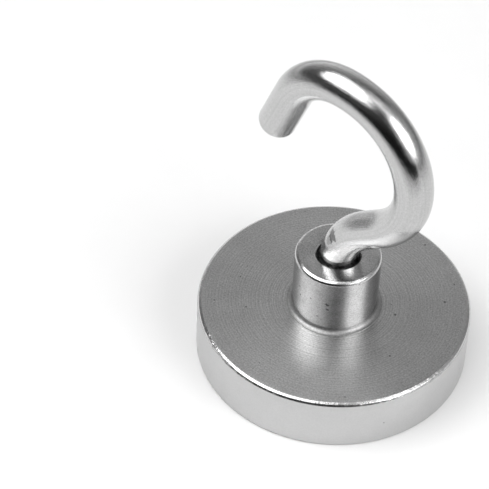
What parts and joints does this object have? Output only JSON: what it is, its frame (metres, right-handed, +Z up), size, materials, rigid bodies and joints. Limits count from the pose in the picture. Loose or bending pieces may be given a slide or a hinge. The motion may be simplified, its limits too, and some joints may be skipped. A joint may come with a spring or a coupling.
{
  "type": "pot magnet with hook",
  "caption": "Round steel pot magnet with a threaded neck on its back and an open wire hook screwed into it.",
  "frame": {"origin": "centre of the pot's lower face, the face that meets the steel", "axes": "+Z up along the pot's axis and the threaded bore; the hook lies in the XZ plane, with its back towards +X and its mouth open towards -X"},
  "size_m": [0.032, 0.032, 0.0422],
  "materials": {
    "pot_nickel": "satin nickel plating over turned steel",
    "bush_nickel": "satin nickel plating over turned steel",
    "magnet_nickel": "bright nickel plating",
    "glue": "cured glue",
    "resin": "cast resin",
    "hook_polished": "bright nickel plating on polished bar"
  },
  "bodies": {
    "magnet_base": {"steel_pot": "pot_nickel", "threaded_bush": "bush_nickel", "magnet_disc": "magnet_nickel", "adhesive_layer": "glue", "epoxy_ring": "resin"},
    "hook": {"hook": "hook_polished"}
  },
  "joints": [
    {"name": "hook_turn", "type": "hinge", "parent": "magnet_base", "child": "hook", "pos_m": [0, 0, 0.0152], "axis": [0, 0, 1], "range_deg": [-180, 180]}
  ]
}
